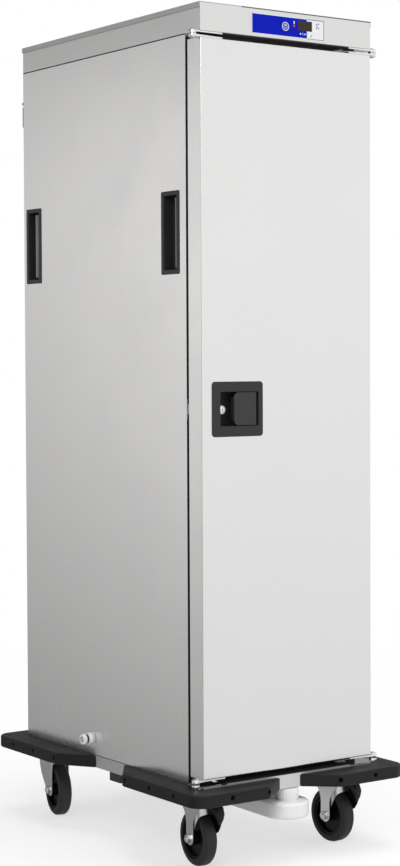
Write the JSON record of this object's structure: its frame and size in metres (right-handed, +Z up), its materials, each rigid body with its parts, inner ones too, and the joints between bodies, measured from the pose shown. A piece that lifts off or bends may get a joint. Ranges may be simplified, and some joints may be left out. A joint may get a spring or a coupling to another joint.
{
  "type": "heated banquet cart",
  "caption": "Tall insulated food transport cart with a full-height door, tray runners, top control housing, swivel casters, corner bumpers and a condensate tank.",
  "frame": {"origin": "on the floor, in the middle of the cart's footprint", "axes": "+X to the right of someone who faces the door, +Y to the cart's back (the door faces -Y), +Z up"},
  "size_m": [0.59, 0.881, 1.8845],
  "materials": {
    "satin_steel": "satin",
    "bright_steel": "satin",
    "zinc_steel": "satin",
    "chrome": "polished",
    "black_plastic": "matte",
    "grey_plastic": "matte",
    "tyre_rubber": "matte",
    "seal_rubber": "matte",
    "white_plastic": "satin",
    "blue_plastic": "gloss",
    "blue_label": "gloss",
    "dark_window": "gloss",
    "mineral_wool": "matte",
    "motor_metal": "satin",
    "board_green": "satin"
  },
  "bodies": {
    "cabinet": {"base_frame": "satin_steel", "bumper_fl": "black_plastic", "bumper_fr": "black_plastic", "bumper_rl": "black_plastic", "bumper_rr": "black_plastic", "bumper_screws": "grey_plastic", "caster_plates": "zinc_steel", "caster_bolts": "zinc_steel", "tank_rails": "satin_steel", "rail_pads": "black_plastic", "cabinet_shell": "satin_steel", "cabinet_liner": "bright_steel", "cabinet_insulation": "mineral_wool", "front_frame": "satin_steel", "runners_left": "bright_steel", "runners_right": "bright_steel", "air_baffle": "bright_steel", "control_housing": "satin_steel", "top_lid": "satin_steel", "control_label": "blue_label", "display_window": "dark_window", "controller_board": "board_green", "fan_motor": "motor_metal", "heating_element": "bright_steel", "power_inlet": "blue_plastic", "hinge_plates_body": "chrome", "side_grips": "black_plastic", "latch_keeper": "zinc_steel", "door_buffers": "white_plastic"},
    "door": {"door_skin": "satin_steel", "door_liner": "bright_steel", "door_insulation": "mineral_wool", "door_gasket": "seal_rubber", "hinge_plates_door": "chrome", "latch_housing": "black_plastic"},
    "paddle": {"latch_paddle": "black_plastic"},
    "bolt": {"latch_bolt": "zinc_steel"},
    "lock": {"lock_cylinder": "chrome"},
    "power_key": {"power_button": "blue_label"},
    "up_key": {"up_button": "blue_label"},
    "down_key": {"down_button": "blue_label"},
    "impeller": {"fan_impeller": "motor_metal"},
    "flap": {"inlet_flap": "blue_plastic"},
    "tank": {"condensate_tank": "white_plastic", "tank_cap": "white_plastic"},
    "fork_fl": {"fork_fl": "zinc_steel"},
    "wheel_fl": {"wheel_core_fl": "grey_plastic", "tyre_fl": "tyre_rubber"},
    "pedal_fl": {"brake_pedal_fl": "black_plastic"},
    "fork_fr": {"fork_fr": "zinc_steel"},
    "wheel_fr": {"wheel_core_fr": "grey_plastic", "tyre_fr": "tyre_rubber"},
    "pedal_fr": {"brake_pedal_fr": "black_plastic"},
    "fork_rl": {"fork_rl": "zinc_steel"},
    "wheel_rl": {"wheel_core_rl": "grey_plastic", "tyre_rl": "tyre_rubber"},
    "fork_rr": {"fork_rr": "zinc_steel"},
    "wheel_rr": {"wheel_core_rr": "grey_plastic", "tyre_rr": "tyre_rubber"}
  },
  "joints": [
    {"name": "door_hinge", "type": "hinge", "parent": "cabinet", "child": "door", "pos_m": [0.2485, -0.37, 1.009], "axis": [0, 0, 1], "range_deg": [0, 264]},
    {"name": "paddle_pull", "type": "hinge", "parent": "door", "child": "paddle", "pos_m": [-0.092, -0.3768, 1.0125], "axis": [0, 0, 1], "range_deg": [0, 40], "stiffness_Nm_per_rad": 0.3},
    {"name": "bolt_slide", "type": "slide", "parent": "door", "child": "bolt", "axis": [1, 0, 0], "range_m": [0, 0.008]},
    {"name": "lock_turn", "type": "hinge", "parent": "door", "child": "lock", "pos_m": [-0.177, -0.36, 1.0107], "axis": [0, 1, 0], "range_deg": [0, 90]},
    {"name": "power_press", "type": "slide", "parent": "cabinet", "child": "power_key", "axis": [0, 1, 0], "range_m": [0, 0.0005], "stiffness_N_per_m": 800},
    {"name": "up_press", "type": "slide", "parent": "cabinet", "child": "up_key", "axis": [0, 1, 0], "range_m": [0, 0.0005], "stiffness_N_per_m": 800},
    {"name": "down_press", "type": "slide", "parent": "cabinet", "child": "down_key", "axis": [0, 1, 0], "range_m": [0, 0.0005], "stiffness_N_per_m": 800},
    {"name": "fan_spin", "type": "hinge", "parent": "cabinet", "child": "impeller", "pos_m": [0, 0.06, 1.755], "axis": [0, 0, 1], "continuous": true},
    {"name": "flap_lift", "type": "hinge", "parent": "cabinet", "child": "flap", "pos_m": [-0.192, 0.4053, 1.7525], "axis": [1, 0, 0], "range_deg": [0, 110]},
    {"name": "tank_slide", "type": "slide", "parent": "cabinet", "child": "tank", "axis": [0, -1, 0], "range_m": [0, 0.18]},
    {"name": "swivel_fl", "type": "hinge", "parent": "cabinet", "child": "fork_fl", "pos_m": [-0.188, -0.2715, 0.149], "axis": [0, 0, 1], "continuous": true},
    {"name": "roll_fl", "type": "hinge", "parent": "fork_fl", "child": "wheel_fl", "pos_m": [-0.1903, -0.29539, 0.0625], "axis": [0.9954, -0.0958, 0], "continuous": true},
    {"name": "brake_fl", "type": "hinge", "parent": "fork_fl", "child": "pedal_fl", "pos_m": [-0.1926, -0.31928, 0.136], "axis": [0.9954, -0.0958, 0], "range_deg": [0, 13]},
    {"name": "swivel_fr", "type": "hinge", "parent": "cabinet", "child": "fork_fr", "pos_m": [0.188, -0.2715, 0.149], "axis": [0, 0, 1], "continuous": true},
    {"name": "roll_fr", "type": "hinge", "parent": "fork_fr", "child": "wheel_fr", "pos_m": [0.18926, -0.29547, 0.0625], "axis": [0.9986, 0.0523, 0], "continuous": true},
    {"name": "brake_fr", "type": "hinge", "parent": "fork_fr", "child": "pedal_fr", "pos_m": [0.19051, -0.31943, 0.136], "axis": [0.9986, 0.0523, 0], "range_deg": [0, 13]},
    {"name": "swivel_rl", "type": "hinge", "parent": "cabinet", "child": "fork_rl", "pos_m": [-0.188, 0.3295, 0.149], "axis": [0, 0, 1], "continuous": true},
    {"name": "roll_rl", "type": "hinge", "parent": "fork_rl", "child": "wheel_rl", "pos_m": [-0.19299, 0.30602, 0.0625], "axis": [0.9781, -0.2079, 0], "continuous": true},
    {"name": "swivel_rr", "type": "hinge", "parent": "cabinet", "child": "fork_rr", "pos_m": [0.188, 0.3295, 0.149], "axis": [0, 0, 1], "continuous": true},
    {"name": "roll_rr", "type": "hinge", "parent": "fork_rr", "child": "wheel_rr", "pos_m": [0.19134, 0.30573, 0.0625], "axis": [0.9903, 0.1392, 0], "continuous": true}
  ],
  "couplings": [
    {"joint": "bolt_slide", "follows": "paddle_pull", "m_per_rad": 0.011459}
  ]
}
